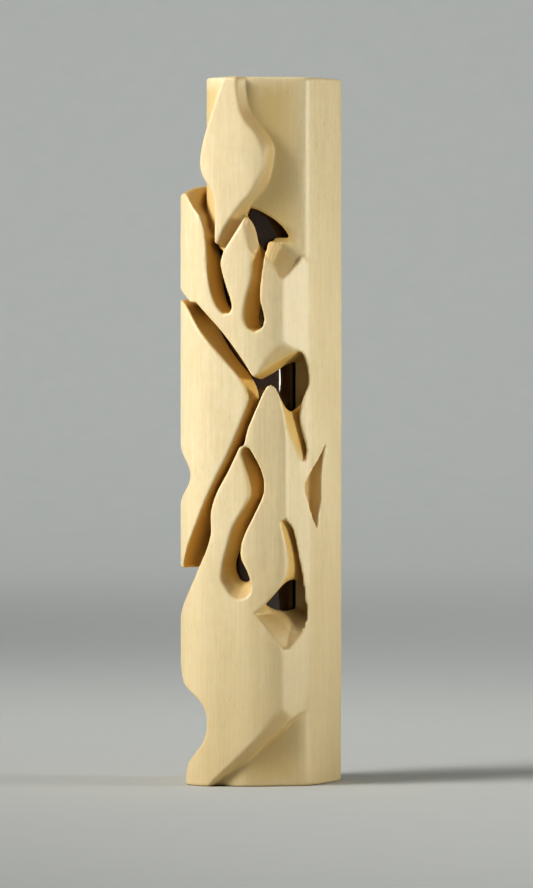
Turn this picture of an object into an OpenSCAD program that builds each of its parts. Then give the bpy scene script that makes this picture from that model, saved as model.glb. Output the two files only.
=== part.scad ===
// Mezuzah case: a pierced, carved hardwood column that hangs on a doorpost by its flat back.
// A glossy tube drops into its bore, a plug closes the tube, and the tube holds a rolled scroll.
// +Z is up, +Y is the flat back, and the origin is the middle of the base.

/* [Case] */
// Height of the case
case_h = 120; // [95:1:160]
// Width of the case across its back
case_w = 25.6; // [24:0.2:34]
// Depth from the flat back to the front of the carving
case_d = 21; // [20:0.5:28]
// Squareness of the D section, where 2 is a half ellipse
section_power = 3; // [2.2:0.05:4]

/* [Carving] */
// How far the ground lies behind the front of the relief
ground_front = 1.8; // [1:0.1:2.2]
// How far the relief overhangs the ground on the left
ground_left = 4.6; // [3:0.1:5]
// Depth of the slots between the carved forms
slot_depth = 6.5; // [5:0.1:7]
// How far the side slit is cut into the right flank
slit_depth = 3.4; // [2:0.1:3.6]

/* [Bore] */
// Radius of the bore
bore_r = 6.8; // [5.5:0.1:7]
// How far the bore lies right of the middle
bore_x = 1; // [0:0.1:1.5]
// Wood between the bore and the back
back_wall = 3.6; // [3.4:0.1:5]
// Solid wood below the bore
floor_h = 9; // [6:0.5:14]
// Radius of the push-out hole in the base
push_hole_r = 2; // [1.5:0.1:3]
// Radius of the thumb notch in the top edge
thumb_r = 3; // [2:0.1:3.5]
// Depth of the thumb notch
thumb_h = 3; // [2:0.1:3.5]

/* [Tube] */
// Radial clearance between the tube and the bore
tube_clearance = 0.2; // [0.1:0.05:0.4]
// Wall of the tube
tube_wall = 0.8; // [0.6:0.1:1.2]
// Thickness of the tube's closed end
tube_floor = 1.2; // [0.8:0.1:2]
// Thickness of the felt pad under the tube
pad_h = 1; // [0.5:0.1:2]

/* [Plug] */
// Height of the plug's head
head_h = 4.3; // [3:0.1:6]
// How far the plug's head lies below the top of the case
head_drop = 0.2; // [0.1:0.1:1]
// Length of the plug's spigot
spigot_h = 6; // [4:0.5:9]
// Thickness of the cork sleeve on the spigot
sleeve_t = 0.8; // [0.5:0.1:1.2]
// Radial clearance between the cork sleeve and the tube
sleeve_clearance = 0.05; // [0.02:0.01:0.1]

/* [Scroll] */
// Height of the parchment, which is the length of the roll
scroll_h = 92; // [60:1:94]
// Thickness of the parchment
sheet_t = 0.35; // [0.2:0.05:0.5]
// Space between the turns of the roll
turn_gap = 0.3; // [0.2:0.05:0.5]
// Turns in the roll
turns = 4; // [2:1:5]
// Thickness of the paper wrapper
wrap_t = 0.25; // [0.15:0.05:0.4]
// Bare parchment at each end of the wrapper
wrap_inset = 3; // [1:0.5:8]
// Space between the roll and its wrapper, and at the bottom of the tube
scroll_gap = 0.1; // [0.05:0.05:0.2]
// Width of the linen tie
tie_w = 2.4; // [1:0.1:4]
// Thickness of the linen tie
tie_t = 0.25; // [0.15:0.05:0.3]

/* [Hangers] */
// Width of a hanger plate
plate_w = 15; // [13:0.5:16]
// Height of a hanger plate
plate_h = 13; // [12:0.5:18]
// Thickness of a hanger plate
plate_t = 1; // [0.8:0.1:1.2]
// Play round a hanger plate in its recess
plate_play = 0.1; // [0.05:0.05:0.2]
// Distance of each hanger from its end of the case
hanger_end = 20; // [16:1:30]
// Radius of the keyhole's round end
key_r = 3; // [2.5:0.1:3.2]
// Width of the keyhole's slot
key_slot = 3; // [2.5:0.1:3.5]
// Travel of the wall screw along the keyhole
key_travel = 4.5; // [3.5:0.5:5]
// Depth of the head pocket behind a hanger plate
pocket_d = 1.8; // [1.5:0.1:1.9]
// Distance between a plate's two screws
screw_pitch = 11.2; // [10:0.2:12]
// Shank radius of a plate screw
screw_r = 0.8; // [0.6:0.05:1]
// Head radius of a plate screw
screw_head_r = 1.5; // [1.3:0.1:1.7]
// Length of a plate screw
screw_len = 5; // [3:0.5:6]

/* [Hidden] */
$fn = 64;

eps = 0.01;
over = 2;                // how far a cut runs past the surface that it opens
section_steps = 32;      // straight facets round the D section
carving_size = [25.6, 120]; // the blank that the carving's outlines are drawn on
carving_depth = 21;      // the depth of that blank, for the outline on the flank
core_right = 1;          // how far the slot floors lie inside the right flank at the back

wood = "#e3d2a6";
brass = "#c9a24a";

back_y = case_d / 2;
bore_y = back_y - back_wall - bore_r;
tube_r = bore_r - tube_clearance;
tube_in_r = tube_r - tube_wall;
tube_z = floor_h + pad_h;
tube_top = case_h - head_drop - head_h;
sleeve_r = tube_in_r - sleeve_clearance;
spigot_r = sleeve_r - sleeve_t;
scroll_z = tube_z + tube_floor + scroll_gap;
roll_pitch = sheet_t + turn_gap;
wrap_r = tube_in_r - 0.8;
roll_r = wrap_r - wrap_t - scroll_gap;
tie_z = scroll_z + scroll_h * 0.62;
key_round_z = -key_travel / 2;
slit_floor_x = case_w / 2 - slit_depth;

// Outlines of the carving, seen from the front as [across, up], on a blank of carving_size.
leaf = [[-0.5, 121], [2.2, 121], [2.8, 116.5], [5, 112.8], [6.9, 109.8], [7, 104], [5.5, 101],
        [2, 97], [-1, 91.5], [-2.8, 91.3], [-3.2, 99], [-5, 103.2], [-5.8, 106], [-4.8, 111]];
body_forms = [[-15, 100.6], [-9.2, 100.6], [-7, 98], [-5.2, 95.5], [-4.6, 92], [-1.3, 91],
              [3.1, 97], [4.6, 95], [5.9, 91.8], [6.6, 92.6], [8.8, 92.3], [9.8, 90.3],
              [11.3, 88], [15, 86.5], [15, 12.3], [11, 12.2], [8, 10], [2.5, 5.3], [-2.5, -1],
              [-9.4, -1], [-8.8, 2.8], [-7.5, 4.3], [-5.8, 6.5], [-4.8, 8.5], [-4.6, 11],
              [-5.3, 13], [-7.2, 15], [-9.4, 16.8], [-10.6, 19.3], [-15, 19.8]];
left_prong_slot = [[-6.5, 97.5], [-4, 100.5], [-3.1, 98.5], [-3, 92], [-1.3, 90.6], [-1.7, 88.2],
                   [-1.1, 86], [0.2, 83], [0.2, 80.4], [-1.6, 79.9], [-3.2, 82.3], [-4.1, 85.6],
                   [-4.6, 91], [-5.2, 95.5]];
right_prong_slot = [[3.1, 97], [4.3, 97.7], [6.6, 96], [8.2, 94], [9.6, 92.6], [8.8, 92.2],
                    [6.6, 92.6], [6, 91.8], [5.6, 88], [5.1, 83.5], [5.1, 81], [5.8, 79],
                    [5.7, 78], [4.4, 76.8], [3.5, 77.3], [2.5, 79.3], [2.6, 82.3], [3.4, 86],
                    [3.8, 88], [3.7, 90.5], [4.2, 93], [3.9, 95]];
crossing_slot = [[-15, 87], [-11.2, 84.9], [-9, 83.4], [-7, 81.7], [-1.5, 75.5], [4, 69.6],
                 [5.5, 66.5], [4, 62.9], [3, 59.7], [1.6, 57.5], [-0.2, 53.8], [-2, 49.6],
                 [-3.4, 46.5], [-3.6, 43.5], [-4.9, 39.1], [-6.3, 36.1], [-8, 33.9],
                 [-10.4, 31], [-15, 28.9], [-15, 36.9], [-9.8, 36.9], [-7, 42.8], [-4.5, 48.7],
                 [-1.8, 54.8], [0.3, 58.5], [2.6, 63.9], [3.1, 66.1], [2.5, 67.7], [0.3, 70.4],
                 [-3.4, 74.3], [-7.3, 78.8], [-9.8, 81.8], [-15, 81.8]];
blade_right_slot = [[4.4, 69.8], [4.9, 67.2], [6, 67.7], [7.2, 67.7], [8.5, 64.6], [9.5, 61.2],
                    [10.1, 57.7], [10.8, 55], [11.2, 56.5], [11.1, 58], [10.8, 61], [10.8, 63],
                    [11.4, 65.3], [12, 68.7], [11.7, 72], [11.3, 73.8], [10.4, 73.8],
                    [9.3, 72.7]];
blade_foot_slot = [[2.5, 54.3], [2.2, 58.2], [3.2, 59], [4, 57.2], [5.2, 54.8], [5.8, 52.3],
                   [5.7, 48.7], [4.4, 46.5], [3.2, 44.1], [2.1, 41.6], [1.7, 39.6], [2.1, 37.9],
                   [3, 35.9], [3.6, 32.6], [6.1, 30.7], [7, 31.5], [8.9, 33.9], [9.9, 35.9],
                   [10, 37.8], [9.3, 41.6], [8.3, 45], [9.3, 44.8], [10.1, 42.8], [10.8, 38.1],
                   [11.2, 34.5], [11, 31], [9.2, 28.5], [7, 27], [4.5, 29.5], [1.8, 31.5],
                   [0, 34], [-0.4, 37], [0, 40.5], [1.1, 44.3], [2.6, 47.3], [3.6, 49.7],
                   [3.5, 51.3]];
flank_notch = [[-15, 58], [-12.9, 57.4], [-12.2, 55.5], [-11.6, 53.5], [-11.4, 52.3],
               [-11.7, 50.6], [-12.3, 48.5], [-12.9, 46.4], [-15, 45.8]];
// Outline of the slit in the right flank, seen from the side as [forward of the back, up].
flank_slit = [[7, 57.2], [8.5, 56], [10.5, 54.5], [12, 52.3], [12.6, 50.3], [12, 48.2],
              [11.2, 44.5], [10.8, 43.7], [9.8, 46], [8.6, 50], [8, 55]];

// Points of a D section that is flat along the back.
function d_section(w, d, middle = 0) = [
    for (i = [0 : section_steps])
        let (a = 180 * i / section_steps, across = pow(abs(cos(a)), 2 / section_power))
            [middle + sign(cos(a)) * across * w / 2, back_y - d * pow(sin(a), 2 / section_power)]
];

// An outline of the carving, fitted to the case's own width and height.
function fit(outline) = [
    for (p = outline) [p.x * case_w / carving_size.x, p.y * case_h / carving_size.y]
];

// Points of one flat spiral of sheet, wound outwards from its core to its outer radius.
function spiral(r_out, from, to, step) = [
    for (a = [from : step : to]) let (r = r_out - roll_pitch * (turns - a / 360)) [r * cos(a), r * sin(a)]
];

module column(w, d, middle = 0) {
    linear_extrude(case_h) polygon(d_section(w, d, middle));
}

// An outline cut straight through from front to back.
module through(outline) {
    translate([0, back_y + over, 0]) rotate([90, 0, 0])
        linear_extrude(case_d + 2 * over) polygon(fit(outline));
}

module slots() {
    difference() {
        union() {
            through(left_prong_slot);
            through(right_prong_slot);
            through(crossing_slot);
            through(blade_right_slot);
            through(blade_foot_slot);
        }
        column(case_w - ground_left - core_right, case_d - slot_depth, (ground_left - core_right) / 2);
    }
}

module flank_slit_cut() {
    translate([slit_floor_x, back_y, 0]) rotate([90, 0, 90])
        linear_extrude(slit_depth + over)
            polygon([for (p = flank_slit) [-p.x * case_d / carving_depth, p.y * case_h / carving_size.y]]);
}

module at_bore(z) {
    translate([bore_x, bore_y, z]) children();
}

// Places its children on the back, at the middle of a hanger.
module at_hanger(z) {
    translate([bore_x, back_y, z]) children();
}

module hanger_recess() {
    deep = plate_t;
    translate([-plate_w / 2 - plate_play, -deep, -plate_h / 2 - plate_play])
        cube([plate_w + 2 * plate_play, deep + over, plate_h + 2 * plate_play]);
    translate([0, -deep + eps, 0]) rotate([90, 0, 0]) keyhole(pocket_d, key_r + 0.4, 2 * key_r + 0.8);
    for (side = [-1, 1])
        translate([side * screw_pitch / 2, 0, 0]) rotate([90, 0, 0]) cylinder(h = screw_len, r = screw_r);
}

// A keyhole with its round end at the bottom, h deep.
module keyhole(h, r, slot) {
    translate([0, key_round_z, 0]) cylinder(h = h, r = r);
    translate([-slot / 2, key_round_z, 0]) cube([slot, key_travel, h]);
    translate([0, key_round_z + key_travel, 0]) cylinder(h = h, r = slot / 2);
}

module carved_case() {
    color(wood) difference() {
        union() {
            column(case_w - ground_left, case_d - ground_front, ground_left / 2);
            intersection() {
                column(case_w, case_d);
                union() {
                    through(leaf);
                    through(body_forms);
                }
            }
        }
        slots();
        through(flank_notch);
        flank_slit_cut();
        at_bore(floor_h) cylinder(h = case_h, r = bore_r);
        at_bore(-over) cylinder(h = floor_h + 2 * over, r = push_hole_r);
        at_bore(case_h - thumb_h) translate([bore_r, 0, 0]) cylinder(h = thumb_h + over, r = thumb_r);
        for (z = [hanger_end, case_h - hanger_end]) at_hanger(z) hanger_recess();
    }
}

module hanger_plate() {
    color(brass) difference() {
        translate([-plate_w / 2, -plate_t, -plate_h / 2]) cube([plate_w, plate_t, plate_h]);
        translate([0, eps, 0]) rotate([90, 0, 0]) keyhole(plate_t + 2 * eps, key_r, key_slot);
        for (side = [-1, 1]) translate([side * screw_pitch / 2, 0, 0]) rotate([90, 0, 0]) screw_shape();
    }
}

// A countersunk screw that points along +Z, its head flush with z = 0.
module screw_shape() {
    rotate_extrude() polygon([[0, 0], [screw_head_r, 0], [screw_r, screw_head_r - screw_r],
                              [screw_r, screw_len - screw_r], [0, screw_len]]);
}

module hanger_plate_top() {
    at_hanger(case_h - hanger_end) hanger_plate();
}

module hanger_plate_bottom() {
    at_hanger(hanger_end) hanger_plate();
}

module hanger_screws() {
    color(brass) for (z = [hanger_end, case_h - hanger_end], side = [-1, 1])
        at_hanger(z) translate([side * screw_pitch / 2, 0, 0]) rotate([90, 0, 0]) difference() {
            screw_shape();
            translate([-screw_head_r, -0.2, -eps]) cube([2 * screw_head_r, 0.4, 0.4]);
        }
}

module seat_pad() {
    color("#6b4a2f") at_bore(floor_h) difference() {
        cylinder(h = pad_h, r = tube_r);
        translate([0, 0, -eps]) cylinder(h = pad_h + 2 * eps, r = push_hole_r);
    }
}

module inner_tube() {
    color("#3a1f10") at_bore(tube_z) difference() {
        cylinder(h = tube_top - tube_z, r = tube_r);
        translate([0, 0, tube_floor]) cylinder(h = case_h, r = tube_in_r);
    }
}

module top_plug() {
    color(wood) at_bore(tube_top) {
        cylinder(h = head_h, r = tube_r);
        translate([0, 0, -spigot_h]) cylinder(h = spigot_h + eps, r = spigot_r);
    }
}

module plug_sleeve() {
    color("#b98a55") at_bore(tube_top - spigot_h + sleeve_t) difference() {
        cylinder(h = spigot_h - sleeve_t, r = sleeve_r);
        translate([0, 0, -eps]) cylinder(h = spigot_h, r = spigot_r);
    }
}

module scroll() {
    step = 15;
    outer = spiral(roll_r, 0, 360 * turns, step);
    inner = spiral(roll_r - sheet_t, 0, 360 * turns, step);
    color("#ead9b0") at_bore(scroll_z) linear_extrude(scroll_h)
        polygon(concat(outer, [for (i = [len(inner) - 1 : -1 : 0]) inner[i]]));
}

module ring(h, r_in, r_out) {
    difference() {
        cylinder(h = h, r = r_out);
        translate([0, 0, -eps]) cylinder(h = h + 2 * eps, r = r_in);
    }
}

module scroll_wrap() {
    color("#f2ead2") at_bore(scroll_z + wrap_inset) ring(scroll_h - 2 * wrap_inset, wrap_r - wrap_t, wrap_r);
}

module scroll_tie() {
    color("#8a6f45") at_bore(tie_z) ring(tie_w, wrap_r, wrap_r + tie_t);
}

carved_case();
hanger_plate_top();
hanger_plate_bottom();
hanger_screws();
seat_pad();
inner_tube();
top_plug();
plug_sleeve();
scroll();
scroll_wrap();
scroll_tie();
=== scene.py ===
"""A mezuzah case: a pierced and carved hardwood column with a flat back, a glossy tube dropped into its
bore, a plug that closes the tube, and the rolled parchment inside. The pieces follow in the order they go
together."""

import math

import bmesh
import bpy
import numpy as np
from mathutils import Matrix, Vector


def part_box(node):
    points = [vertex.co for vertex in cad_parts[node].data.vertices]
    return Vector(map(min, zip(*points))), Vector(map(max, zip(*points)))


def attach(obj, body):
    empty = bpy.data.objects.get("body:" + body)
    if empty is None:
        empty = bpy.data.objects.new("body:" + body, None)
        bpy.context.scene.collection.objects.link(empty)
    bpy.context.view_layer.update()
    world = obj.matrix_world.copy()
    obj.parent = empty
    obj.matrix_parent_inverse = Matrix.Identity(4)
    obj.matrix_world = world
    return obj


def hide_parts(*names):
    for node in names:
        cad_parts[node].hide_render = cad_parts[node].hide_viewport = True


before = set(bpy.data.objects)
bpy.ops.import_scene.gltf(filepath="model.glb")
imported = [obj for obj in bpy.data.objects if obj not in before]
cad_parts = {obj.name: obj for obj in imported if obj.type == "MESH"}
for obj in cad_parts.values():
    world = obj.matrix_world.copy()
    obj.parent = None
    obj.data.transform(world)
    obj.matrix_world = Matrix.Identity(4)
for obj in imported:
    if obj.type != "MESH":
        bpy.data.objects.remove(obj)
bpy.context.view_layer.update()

import openvdb
from mathutils import Vector

MM = 0.001


# ---------------------------------------------------------------- Camera
# A long lens a metre away, a little to the case's right and two thirds of the way up it.
VIEW_TURN = math.radians(20)
VIEW_DISTANCE = 1050 * MM
VIEW_HEIGHT = 82 * MM
aim = Vector((2.6, 0.9, 57.8)) * MM


def face(thing, target):
    """Turns a camera or a lamp to look at a point."""
    thing.rotation_euler = (target - thing.location).to_track_quat("-Z", "Y").to_euler()


camera = bpy.data.objects.new("camera", bpy.data.cameras.new("camera"))
bpy.context.scene.collection.objects.link(camera)
camera.location = (
    aim.x + VIEW_DISTANCE * math.sin(VIEW_TURN),
    aim.y - VIEW_DISTANCE * math.cos(VIEW_TURN),
    VIEW_HEIGHT,
)
face(camera, aim)
camera.data.sensor_width = 36
camera.data.lens = 250
camera.data.clip_start = 0.01
bpy.context.scene.camera = camera
bpy.context.scene.view_settings.view_transform = "Standard"
bpy.context.scene.view_settings.look = "High Contrast"


# ---------------------------------------------------------------- Floor, backdrop and light
# A pale matt sheet that runs back under the case and curves up behind it, lit by soft panels. It is clear
# from behind, so that the case can be seen from every side.
class Socket:
    """One shader value, so that maths on values reads as an expression and adds its own nodes."""

    def __init__(self, finish, link):
        self.finish, self.link = finish, link

    def _math(self, operation, first, second):
        return self.finish.node("ShaderNodeMath", {"operation": operation}, {0: first, 1: second})

    def __add__(self, other):
        return self._math("ADD", self, other)

    def __sub__(self, other):
        return self._math("SUBTRACT", self, other)

    def __mul__(self, other):
        return self._math("MULTIPLY", self, other)

    def __rsub__(self, other):
        return self._math("SUBTRACT", other, self)

    __radd__, __rmul__ = __add__, __mul__


class Finish:
    """A material under construction: node() adds any node and returns its output, by name or the first."""

    def __init__(self, name):
        self.material = bpy.data.materials.new(name)
        self.material.use_nodes = True
        self.tree = self.material.node_tree
        self.shader = self.tree.nodes["Principled BSDF"]

    def fill(self, sockets, values):
        for key, value in values.items():
            if isinstance(value, Socket):
                self.tree.links.new(value.link, sockets[key])
            else:
                sockets[key].default_value = value

    def node(self, kind, settings=None, inputs=None, output=0):
        added = self.tree.nodes.new(kind)
        for key, value in (settings or {}).items():
            setattr(added, key, value)
        self.fill(added.inputs, inputs or {})
        return Socket(self, added.outputs[output])

    def place(self, scale=(1, 1, 1), shift=(0, 0, 0)):
        """Object coordinates in millimetres, stretched and then moved."""
        spot = self.node("ShaderNodeTexCoord", output="Object")
        per_mm = tuple(1000 * s for s in scale)
        return self.node("ShaderNodeMapping", {}, {"Vector": spot, "Location": shift, "Scale": per_mm})

    def noise(self, where, scale, detail=3.0, roughness=0.5, distortion=0.0):
        """Soft noise from 0 to 1."""
        inputs = {"Vector": where, "Scale": scale, "Detail": detail}
        inputs.update({"Roughness": roughness, "Distortion": distortion})
        return self.node("ShaderNodeTexNoise", {}, inputs)

    def band(self, value, low, high, first=0.0, last=1.0):
        """value's stretch from low to high, as first to last, held at both ends."""
        return self.node(
            "ShaderNodeMapRange",
            {"clamp": True},
            {"Value": value, "From Min": low, "From Max": high, "To Min": first, "To Max": last},
        )

    def mix(self, share, first, second):
        """Two colours mixed: share of the second."""
        colours = {0: share, 6: first, 7: second}
        return self.node("ShaderNodeMix", {"data_type": "RGBA"}, colours, output=2)

    def bump(self, height, depth, strength):
        """A normal from height, depth metres from 0 to 1."""
        return self.node("ShaderNodeBump", {}, {"Height": height, "Distance": depth, "Strength": strength})

    def done(self, **values):
        """Sets the shader's sockets, where _ stands for a space."""
        named = {key.replace("_", " "): value for key, value in values.items()}
        self.fill(self.shader.inputs, named)
        return self.material


SHEET_HALF = 1.6
SHEET_FRONT = -1.6
SHEET_BACK = 1.5
SHEET_RISE = 1.6
SHEET_BEND = 0.5


def backdrop_profile():
    """The sheet from front to back: flat, a quarter turn, then straight up."""
    points = [(SHEET_FRONT, 0.0), (SHEET_BACK - SHEET_BEND, 0.0)]
    for step in range(1, 17):
        turn = math.pi / 2 * step / 16
        points.append(
            (SHEET_BACK - SHEET_BEND + SHEET_BEND * math.sin(turn), SHEET_BEND * (1 - math.cos(turn)))
        )
    points.append((SHEET_BACK, SHEET_RISE))
    return points


def mesh_object(name, vertices, faces):
    """A new mesh piece, in metres, linked to the scene."""
    mesh = bpy.data.meshes.new(name)
    mesh.from_pydata([tuple(v) for v in vertices], [], [tuple(f) for f in faces])
    mesh.validate()
    mesh.polygons.foreach_set("use_smooth", [True] * len(mesh.polygons))
    piece = bpy.data.objects.new(name, mesh)
    bpy.context.scene.collection.objects.link(piece)
    return piece


profile = backdrop_profile()
across = [-SHEET_HALF, SHEET_HALF]
sheet = mesh_object(
    "floor_sheet",
    [(x, y, z) for y, z in profile for x in across],
    [(2 * i, 2 * i + 1, 2 * i + 3, 2 * i + 2) for i in range(len(profile) - 1)],
)
sheet.rotation_euler.z = VIEW_TURN
paper = Finish("backdrop_paper")
mottle = paper.noise(paper.place(), 0.12, detail=4.0)
from_behind = paper.node("ShaderNodeNewGeometry", output="Backfacing")
sheet.data.materials.append(
    paper.done(
        Base_Color=paper.mix(mottle, (0.60, 0.615, 0.60, 1), (0.63, 0.64, 0.625, 1)),
        Roughness=0.9,
        Normal=paper.bump(mottle, 0.0002, 0.1),
        Alpha=1 - from_behind,
    )
)


def panel(name, turn, lift, distance, size, power, colour, spread, aim_height):
    """A soft light turned round the case from the camera's side and lifted, in degrees, aimed at it."""
    light = bpy.data.lights.new(name, "AREA")
    light.shape = "RECTANGLE"
    light.size, light.size_y = size
    light.energy = power
    light.color = colour
    light.spread = math.radians(spread)
    lamp = bpy.data.objects.new(name, light)
    bpy.context.scene.collection.objects.link(lamp)
    heading = VIEW_TURN + math.radians(turn)
    rise = math.radians(lift)
    target = Vector((0, 0, aim_height))
    lamp.location = target + distance * Vector(
        (math.sin(heading) * math.cos(rise), -math.cos(heading) * math.cos(rise), math.sin(rise))
    )
    face(lamp, target)
    return lamp


panel("key_light", -66, 24, 0.8, (0.7, 0.2), 0.56, (1.0, 0.99, 0.985), 34, 0.095)
panel("side_light", 80, 8, 0.7, (0.5, 0.06), 0.08, (1.0, 0.975, 0.90), 24, 0.07)
panel("edge_light", 81, 0, 0.7, (0.2, 0.14), 0.3, (1.0, 0.98, 0.94), 120, 0.055)
overhead = panel("backdrop_light", 0, 0, 0.1, (1.4, 0.5), 2.6, (0.98, 0.99, 0.99), 130, 0)
sky_back = Vector((-math.sin(VIEW_TURN), math.cos(VIEW_TURN), 0))
overhead.location = 0.6 * sky_back + Vector((0, 0, 0.9))
face(overhead, 1.25 * sky_back + Vector((0, 0, 0.16)))
world = bpy.data.worlds.new("room")
world.use_nodes = True
world.node_tree.nodes["Background"].inputs["Color"].default_value = (0.87, 0.88, 0.87, 1)
world.node_tree.nodes["Background"].inputs["Strength"].default_value = 0.25
bpy.context.scene.world = world


# ---------------------------------------------------------------- Carved case
# One block of pale close-grained hardwood, sawn to a D section, carved with knives and gouges and pierced
# through to the bore, then scraped and waxed. Every other piece sits in it or is screwed to it.
def box_mm(node):
    """A CAD piece's lowest and highest corners, in mm."""
    return [np.array(corner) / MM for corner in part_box(node)]


def plate_place(node):
    """A flat piece's lowest and highest corners, its middle and its half size, in mm."""
    first, last = box_mm(node)
    return first, last, (first + last) / 2, (last - first) / 2


low, high = box_mm("carved_case")
HALF_W = (high[0] - low[0]) / 2
DEPTH = high[1] - low[1]
BACK = high[1]
TALL = high[2]
SECTION_POWER = 3.0
GROUND_FRONT = 1.8
GROUND_LEFT = 4.6
SLOT_DEPTH = 7.0
SLOT_TAPER = 0.35
VOXEL = 0.25

TUBE_GAP = 0.2
bore_low, bore_high = box_mm("inner_tube")
BORE_X, BORE_Y = (bore_low[:2] + bore_high[:2]) / 2
BORE_R = (bore_high[0] - bore_low[0]) / 2 + TUBE_GAP
BORE_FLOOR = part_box("seat_pad")[0].z / MM

margin = 3 * VOXEL
ax = np.arange(-HALF_W - margin, HALF_W + margin + VOXEL, VOXEL)
ay = np.arange(BACK - DEPTH - margin, BACK + margin + VOXEL, VOXEL)
az = np.arange(-margin, TALL + margin + VOXEL, VOXEL)
X2, Y2 = np.meshgrid(ax, ay, indexing="ij")


def over_section(values):
    """Values on the plan, across and back, as a field of the whole block."""
    return values[:, :, None].astype(np.float32)


def over_front(values):
    """Values on the front view, across and up, as a field of the whole block."""
    return values[:, None, :].astype(np.float32)


def over_height(values):
    """Values up the block as a field of the whole block."""
    return values[None, None, :].astype(np.float32)


def d_section(half, depth, middle=0.0, power=SECTION_POWER):
    """Distance outside a D section that is flat along the back, negative inside, without its flat."""
    u = (X2 - middle) / half
    v = (BACK - Y2) / depth
    size = np.maximum(np.abs(u) ** power + np.abs(v) ** power, 1e-9)
    value = size ** (1 / power) - 1
    slope = size ** (1 / power - 1) * np.hypot(
        np.abs(u) ** (power - 1) / half, np.abs(v) ** (power - 1) / depth
    )
    return value / np.maximum(slope, 1e-3)


def both(a, b, blend=0.3):
    """What is inside a and b, with the edge between them eased."""
    share = np.clip(0.5 + 0.5 * (a - b) / blend, 0, 1)
    return b + (a - b) * share + blend * share * (1 - share)


def either(a, b, blend=0.3):
    """What is inside a or b, with the corner between them filled a little."""
    return -both(-a, -b, blend)


def flowing(points, corner=34, steps=6):
    """A closed outline through the points that flows round gentle turns and keeps sharp ones."""
    spots = np.array(points, float)
    ahead = np.roll(spots, -1, 0) - spots
    length = np.hypot(*ahead.T)
    heading = ahead / length[:, None]
    before = np.roll(heading, 1, 0)
    bend = np.degrees(np.arccos(np.clip((heading * before).sum(1), -1, 1)))
    soft = heading + before
    soft /= np.maximum(np.hypot(*soft.T), 1e-6)[:, None]
    sharp = bend > corner
    leave = np.where(sharp[:, None], heading, soft) * length[:, None]
    arrive = np.where(np.roll(sharp, -1)[:, None], heading, np.roll(soft, -1, 0)) * length[:, None]
    line = []
    for t in np.arange(steps) / steps:
        line.append(
            (2 * t**3 - 3 * t**2 + 1) * spots
            + (t**3 - 2 * t**2 + t) * leave
            + (3 * t**2 - 2 * t**3) * np.roll(spots, -1, 0)
            + (t**3 - t**2) * arrive
        )
    return np.stack(line, 1).reshape(-1, 2)


def outline_distance(points, first, second):
    """Distance to a closed outline over a grid of two axes, negative inside it."""
    line = flowing(points)
    g0, g1 = np.meshgrid(first, second, indexing="ij")
    nearest = np.full(g0.shape, 1e9)
    inside = np.zeros(g0.shape, bool)
    for (x0, z0), (x1, z1) in zip(line, np.roll(line, -1, 0)):
        dx, dz = x1 - x0, z1 - z0
        along = np.clip(((g0 - x0) * dx + (g1 - z0) * dz) / max(dx * dx + dz * dz, 1e-12), 0, 1)
        nearest = np.minimum(nearest, (g0 - x0 - along * dx) ** 2 + (g1 - z0 - along * dz) ** 2)
        if z0 != z1:
            crosses = (z0 > g1) != (z1 > g1)
            inside ^= crosses & (g0 < x0 + (g1 - z0) * dx / (z1 - z0))
    return np.sqrt(nearest) * np.where(inside, -1, 1)


def front_outline(points):
    return over_front(outline_distance(points, ax, az))


blank = d_section(HALF_W, DEPTH)
ground = d_section(HALF_W - GROUND_LEFT / 2, DEPTH - GROUND_FRONT, GROUND_LEFT / 2)
below_blank = over_section(np.maximum(-blank, 0))
relief_share = over_section(np.clip(-blank / np.maximum(ground - blank, 0.2), 0, 1))


def slot(mouth, bottom=None, depth=5.0, lip=0.0):
    """A slot between forms: its outline at the face, and the one that it narrows to, depth below."""
    shape = front_outline(mouth)
    share = np.clip((below_blank - lip) / (depth - lip), 0, 1)
    if bottom is not None:
        shape = shape + (front_outline(bottom) - shape) * share
    return shape + SLOT_TAPER * share


# Outlines of the carving seen from the front, as (across, up). A foot or a deep outline repeats the
# stretches that it shares with its face.
LEAF_FACE = [(-0.4, 122), (1.4, 122), (1.4, 117.5), (2.5, 112.7), (4.4, 110.4), (5.4, 108.4), (6, 106.4),
             (5.9, 104.6), (4.9, 102.6), (3.5, 100.1), (1.8, 98.2), (-0.9, 94.5), (-2.2, 91.7), (-2.7, 92),
             (-2.8, 98.8), (-3.4, 101), (-4.9, 103.1), (-5.5, 105), (-5.3, 107.4), (-4.4, 110.7)]
LEAF_FOOT = [(-0.4, 122), (2.2, 122), (2.2, 117.5), (2.8, 114.4), (4.2, 112), (5.6, 110), (6.4, 108),
             (6.3, 105.6), (5.8, 103), (5, 101.2), (3.2, 98.8), (0.8, 95.6), (-1.6, 91.2), (-2.8, 91.6),
             (-2.9, 98.8), (-3.5, 101), (-5, 103.1), (-5.6, 105), (-5.4, 107.4), (-4.5, 110.7)]
BODY_FACE = [(-15, 100.1), (-10.6, 100.1), (-9.3, 100.4), (-8.5, 99.9), (-6.9, 98.1), (-5.4, 96.4),
             (-4.6, 94.5), (-3, 91), (-1.1, 90.6), (1.2, 94), (3.1, 96.8), (3.9, 96.6), (4.9, 95),
             (5.7, 92.4), (6.6, 92.3), (8.7, 92.3), (9.3, 91.3), (9.9, 90.1), (10.8, 89.3), (11.6, 88.6),
             (15, 88.4), (15, 15.6), (11.2, 15.4), (10.9, 14), (10.5, 13), (8.4, 13.2), (8, 12.9),
             (5.6, 9.4), (2, 5.6), (-2.9, 1), (-6, -2), (-9.2, -2), (-8.8, 0.7), (-8.7, 1.9), (-8.1, 3.8),
             (-6.4, 5.7), (-4.9, 7.6), (-4.1, 10.2), (-4.3, 12.2), (-5.4, 14.2), (-7.6, 15.9), (-9.6, 17.4),
             (-10.6, 19.3), (-11.5, 20.3), (-15, 21.5)]
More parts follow.
